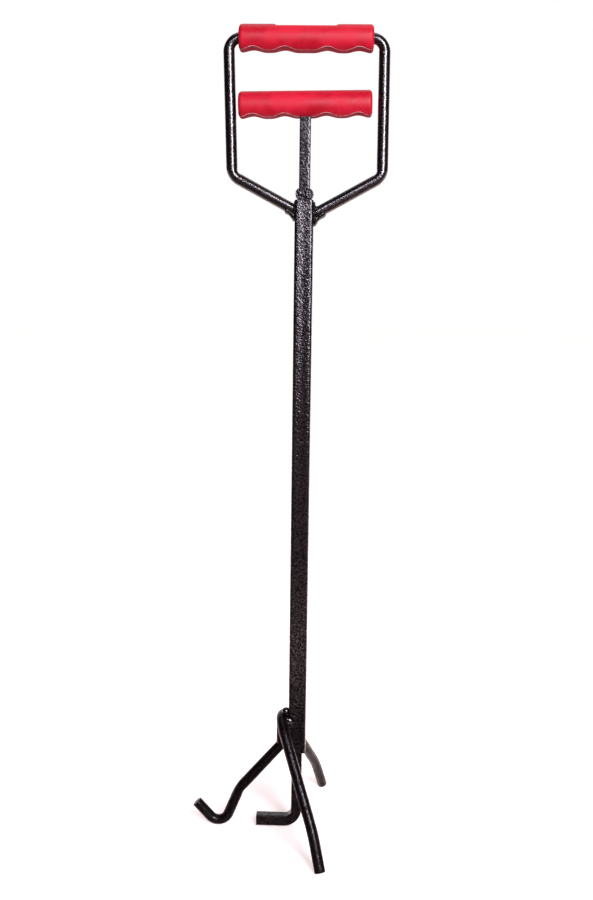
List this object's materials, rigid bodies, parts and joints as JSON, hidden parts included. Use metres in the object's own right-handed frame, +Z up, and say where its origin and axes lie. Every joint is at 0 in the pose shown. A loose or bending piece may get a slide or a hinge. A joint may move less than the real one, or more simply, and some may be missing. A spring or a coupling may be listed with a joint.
{
  "type": "squeeze-handle gripping tool",
  "caption": "Standing hand tool: a D-handled tube frame on three rod legs with a sliding inner bar whose finger grip lifts a square foot against the hooked leg.",
  "frame": {"origin": "on the ground, under the middle of the tool's overall width and depth; the tube's axis stands at x = 0.01325", "axes": "+Z up along the tube and the slide, -X towards the hooked leg and the foot's tip, -Y towards the front leg"},
  "size_m": [0.1668, 0.1684, 0.7138],
  "materials": {
    "black_hammertone": "black hammertone powder coat with fine bumps",
    "red_vinyl": "satin moulded vinyl"
  },
  "bodies": {
    "frame": {"outer_tube": "black_hammertone", "handle_rod": "black_hammertone", "top_grip": "red_vinyl", "hook_leg": "black_hammertone", "fork_legs": "black_hammertone", "handle_weld_left": "black_hammertone", "handle_weld_right": "black_hammertone", "fork_weld_front": "black_hammertone", "fork_weld_rear": "black_hammertone", "hook_weld_front": "black_hammertone", "hook_weld_rear": "black_hammertone"},
    "slide": {"slide_bar": "black_hammertone", "crossbar": "black_hammertone", "crossbar_weld": "black_hammertone", "slide_grip": "red_vinyl", "stop_bead_left": "black_hammertone", "stop_bead_right": "black_hammertone"}
  },
  "joints": [
    {"name": "squeeze_slide", "type": "slide", "parent": "frame", "child": "slide", "axis": [0, 0, 1], "range_m": [0, 0.029]}
  ]
}
